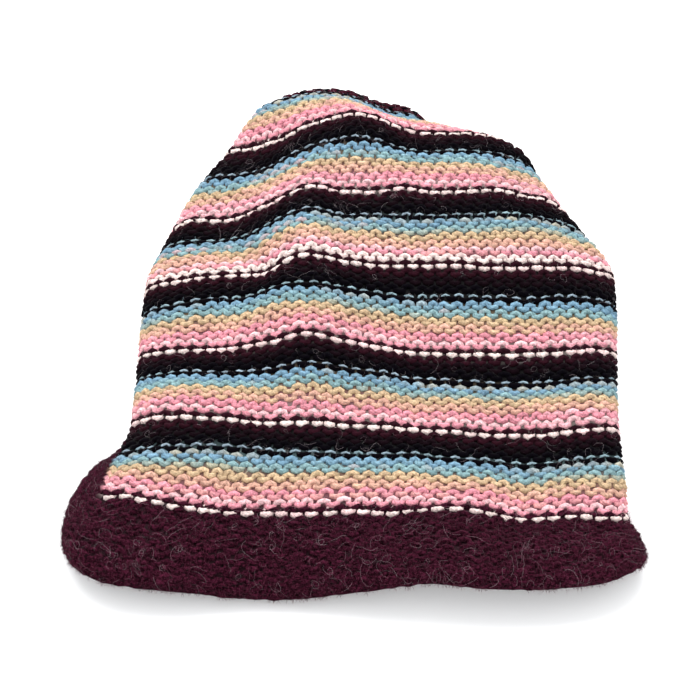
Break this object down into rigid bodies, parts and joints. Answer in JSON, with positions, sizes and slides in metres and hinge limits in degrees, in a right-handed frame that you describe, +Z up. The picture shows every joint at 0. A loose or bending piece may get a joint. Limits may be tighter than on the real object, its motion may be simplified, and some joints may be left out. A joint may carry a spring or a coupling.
{
  "type": "slouchy beanie",
  "caption": "Hand-knit slouchy beanie in fine horizontal stripes with a plain flared brim band, lying flat on its back.",
  "frame": {"origin": "on the surface the hat lies on, under the middle of its bounding box", "axes": "+Z up from that surface, +Y from the brim to the crown's tip, +X to the right as seen from the brim, with the hat's front facing up"},
  "size_m": [0.2564, 0.3005, 0.0487],
  "materials": {
    "burgundy_wool": "knitted fuzzy wool, purl side out, matt",
    "striped_wool": "knitted self-striping wool in white, pinks, tan, blues, black and burgundy, purl side out, matt"
  },
  "bodies": {
    "root": {"brim_band": "burgundy_wool", "slouch": "striped_wool", "crown": "striped_wool"}
  },
  "joints": []
}
